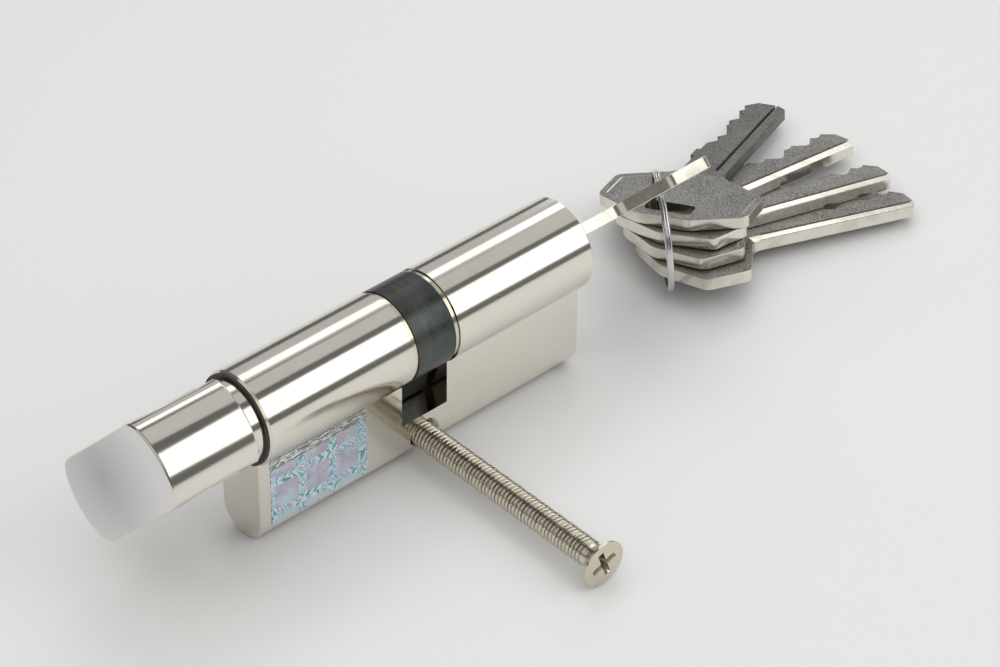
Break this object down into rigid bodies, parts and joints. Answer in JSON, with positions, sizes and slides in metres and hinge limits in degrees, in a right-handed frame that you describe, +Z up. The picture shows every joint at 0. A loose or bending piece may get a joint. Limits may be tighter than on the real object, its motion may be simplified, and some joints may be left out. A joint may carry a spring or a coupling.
{
  "type": "profile lock cylinder with thumb turn",
  "caption": "Profile lock cylinder with a thumb turn on one side, a turned key in the other, a lobed cam between, a long fixing screw and a bunch of spare keys on a split ring.",
  "frame": {"origin": "on the axis of the barrel, in the middle of the cam", "axes": "+Y along the barrel's axis towards the key, +Z up from the pod to the barrel, +X along the fixing screw towards its head"},
  "size_m": [0.0767, 0.1767, 0.0393],
  "materials": {
    "nickel": "polished nickel on brass",
    "plug_brass": "turned brass",
    "spring_steel": "bright spring steel",
    "hard_steel": "hardened steel",
    "cam_steel": "black oxide on sintered steel",
    "black_washer": "black",
    "key_nickel": "satin nickel on brass",
    "ring_steel": "bright steel wire",
    "screw_nickel": "nickel plated steel",
    "foil": "iridescent foil"
  },
  "bodies": {
    "housing": {"housing": "nickel", "label": "foil", "guard_pins": "hard_steel", "end_washer": "black_washer", "driver_pin_1": "plug_brass", "driver_pin_2": "plug_brass", "driver_pin_3": "plug_brass", "driver_pin_4": "plug_brass", "driver_pin_5": "plug_brass", "pin_spring_1": "spring_steel", "pin_spring_2": "spring_steel", "pin_spring_3": "spring_steel", "pin_spring_4": "spring_steel", "pin_spring_5": "spring_steel", "chamber_plug_1": "plug_brass", "chamber_plug_2": "plug_brass", "chamber_plug_3": "plug_brass", "chamber_plug_4": "plug_brass", "chamber_plug_5": "plug_brass"},
    "turn": {"turn_spindle": "nickel", "thumb_turn": "nickel", "grub_screw": "hard_steel", "turn_ring": "spring_steel"},
    "cam": {"cam": "cam_steel", "coupler": "hard_steel", "coupler_spring": "spring_steel"},
    "plug": {"key_plug": "plug_brass", "plug_guard_pin": "hard_steel", "plug_ring": "spring_steel", "key": "key_nickel", "key_pin_1": "plug_brass", "key_pin_2": "plug_brass", "key_pin_3": "plug_brass", "key_pin_4": "plug_brass", "key_pin_5": "plug_brass"},
    "screw": {"fixing_screw": "screw_nickel"},
    "ring": {"key_ring": "ring_steel"},
    "spare_key_1": {"spare_key_1": "key_nickel"},
    "spare_key_2": {"spare_key_2": "key_nickel"},
    "spare_key_3": {"spare_key_3": "key_nickel"},
    "spare_key_4": {"spare_key_4": "key_nickel"}
  },
  "joints": [
    {"name": "knob_turn", "type": "hinge", "parent": "housing", "child": "turn", "pos_m": [0, 0, 0], "axis": [0, 1, 0], "continuous": true},
    {"name": "cam_turn", "type": "hinge", "parent": "housing", "child": "cam", "pos_m": [0, 0, 0], "axis": [0, 1, 0], "continuous": true},
    {"name": "key_turn", "type": "hinge", "parent": "housing", "child": "plug", "pos_m": [0, 0, 0], "axis": [0, 1, 0], "continuous": true},
    {"name": "screw_travel", "type": "slide", "parent": "housing", "child": "screw", "axis": [1, 0, 0], "range_m": [-0.0035, 0.0065]},
    {"name": "spare_key_1_swing", "type": "hinge", "parent": "plug", "child": "spare_key_1", "pos_m": [-0.01041, 0.06951, -0.01474], "axis": [-0.1668, 0.0952, 0.9814], "range_deg": [-12, 12]},
    {"name": "spare_key_2_swing", "type": "hinge", "parent": "plug", "child": "spare_key_2", "pos_m": [-0.00965, 0.06925, -0.01693], "axis": [-0.1668, 0.0952, 0.9814], "range_deg": [-12, 12]},
    {"name": "spare_key_3_swing", "type": "hinge", "parent": "plug", "child": "spare_key_3", "pos_m": [-0.00845, 0.06865, -0.01902], "axis": [-0.1668, 0.0952, 0.9814], "range_deg": [-12, 8]},
    {"name": "spare_key_4_swing", "type": "hinge", "parent": "plug", "child": "spare_key_4", "pos_m": [-0.00667, 0.06758, -0.02095], "axis": [-0.1668, 0.0952, 0.9814], "range_deg": [-8, 4]},
    {"name": "ring_turn", "type": "hinge", "parent": "plug", "child": "ring", "pos_m": [-0.0023, 0.0631, -0.0124], "axis": [-0.5967, -0.7947, -0.1115], "continuous": true}
  ],
  "couplings": [
    {"joint": "cam_turn", "follows": "knob_turn", "ratio": 1},
    {"joint": "key_turn", "follows": "knob_turn", "ratio": 1}
  ]
}
